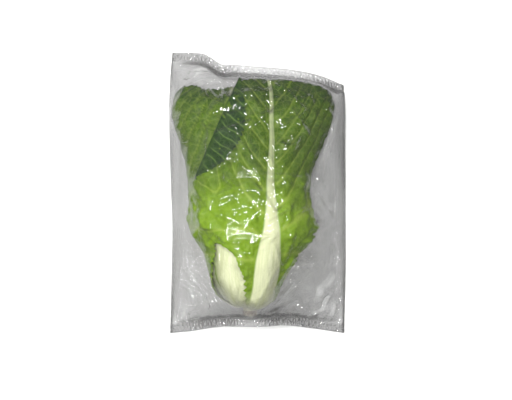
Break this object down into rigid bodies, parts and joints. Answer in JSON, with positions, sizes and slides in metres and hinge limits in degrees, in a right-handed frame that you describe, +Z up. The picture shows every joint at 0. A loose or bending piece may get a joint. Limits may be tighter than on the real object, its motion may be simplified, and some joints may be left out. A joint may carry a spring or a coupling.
{
  "type": "bagged napa cabbage",
  "caption": "Long loose head of napa cabbage lying on its back in a clear film bag that is crimp-sealed at both ends and has one small vent hole.",
  "frame": {"origin": "middle of the bag's plan, on the surface that it lies on", "axes": "+Z up, +Y along the head from the cut stem to the leaf tips, +X to the right seen from above with the tips away"},
  "size_m": [0.2382, 0.3799, 0.0967],
  "materials": {
    "outer_leaf": "satin",
    "middle_leaf": "satin",
    "heart_leaf": "satin",
    "stem": "matte",
    "film": "gloss"
  },
  "bodies": {
    "root": {"leaf_01": "outer_leaf", "leaf_02": "outer_leaf", "leaf_03": "outer_leaf", "leaf_04": "outer_leaf", "leaf_05": "outer_leaf", "leaf_06": "outer_leaf", "leaf_07": "middle_leaf", "leaf_08": "middle_leaf", "leaf_09": "middle_leaf", "leaf_10": "middle_leaf", "leaf_11": "middle_leaf", "leaf_12": "middle_leaf", "leaf_13": "heart_leaf", "leaf_14": "heart_leaf", "leaf_15": "heart_leaf", "leaf_16": "heart_leaf", "leaf_17": "heart_leaf", "leaf_18": "heart_leaf", "stem": "stem", "produce_bag": "film"}
  },
  "joints": []
}
